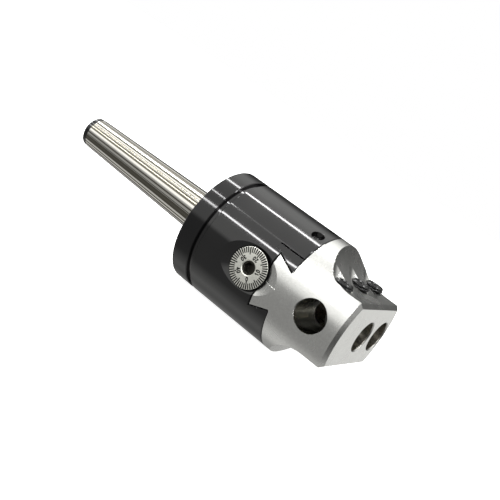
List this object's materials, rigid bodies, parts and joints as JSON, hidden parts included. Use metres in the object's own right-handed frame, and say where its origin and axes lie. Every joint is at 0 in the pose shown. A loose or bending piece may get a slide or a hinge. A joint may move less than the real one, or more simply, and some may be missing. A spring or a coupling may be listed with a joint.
{
  "type": "boring head",
  "caption": "Adjustable boring head on a taper shank: a graduated screw shifts the dovetail tool slide sideways, and bars clamp in its axial or cross bores.",
  "frame": {"origin": "on the spindle axis at the gauge line of the taper, which is the flange's back face", "axes": "+X along the spindle axis from the shank to the cutting end, -Y the side of the graduated dial, +Z the side of the clamp and gib screws"},
  "size_m": [0.1548, 0.0508, 0.0508],
  "materials": {
    "shank_steel": "ground, lengthwise sheen; the flange and the small end are blackened",
    "black_oxide": "glossy black oxide",
    "satin_steel": "bright satin, machined",
    "dial_steel": "satin chrome with engraved lines",
    "screw_black": "black oxide",
    "spring_steel": "plain",
    "bronze": "plain"
  },
  "bodies": {
    "head": {"taper_shank": "shank_steel", "head_body": "black_oxide", "gib": "black_oxide", "dial_bush": "bronze", "far_bush": "bronze", "spring_washer": "spring_steel"},
    "slide": {"tool_slide": "satin_steel", "feed_nut": "bronze", "nut_pin": "spring_steel"},
    "dial": {"dial_screw": "dial_steel", "end_collar": "spring_steel", "collar_pin": "spring_steel"},
    "clamp_side": {"clamp_screw_side_bore": "screw_black"},
    "clamp_centre": {"clamp_screw_centre_bore": "screw_black"},
    "clamp_offset": {"clamp_screw_offset_bore": "screw_black"},
    "gib_dial_side": {"gib_screw_dial_side": "screw_black"},
    "gib_lock": {"gib_lock_screw": "screw_black"},
    "gib_far_side": {"gib_screw_far_side": "screw_black"}
  },
  "joints": [
    {"name": "slide_travel", "type": "slide", "parent": "head", "child": "slide", "axis": [0, 1, 0], "range_m": [0, 0.015]},
    {"name": "dial_turn", "type": "hinge", "parent": "head", "child": "dial", "pos_m": [0.0329, 0, 0], "axis": [0, 1, 0], "range_deg": [0, 5400]},
    {"name": "clamp_side_travel", "type": "slide", "parent": "slide", "child": "clamp_side", "axis": [0, 0, 1], "range_m": [-0.0045, 0.002]},
    {"name": "clamp_centre_travel", "type": "slide", "parent": "slide", "child": "clamp_centre", "axis": [0, 0, 1], "range_m": [-0.0045, 0.002]},
    {"name": "clamp_offset_travel", "type": "slide", "parent": "slide", "child": "clamp_offset", "axis": [0, 0, 1], "range_m": [-0.0045, 0.002]},
    {"name": "gib_dial_side_travel", "type": "slide", "parent": "head", "child": "gib_dial_side", "axis": [0, 0, 1], "range_m": [0, 0.004]},
    {"name": "gib_lock_travel", "type": "slide", "parent": "head", "child": "gib_lock", "axis": [0, 0, 1], "range_m": [0, 0.004]},
    {"name": "gib_far_side_travel", "type": "slide", "parent": "head", "child": "gib_far_side", "axis": [0, 0, 1], "range_m": [0, 0.004]}
  ],
  "couplings": [
    {"joint": "dial_turn", "follows": "slide_travel", "rad_per_m": 6283.2}
  ]
}
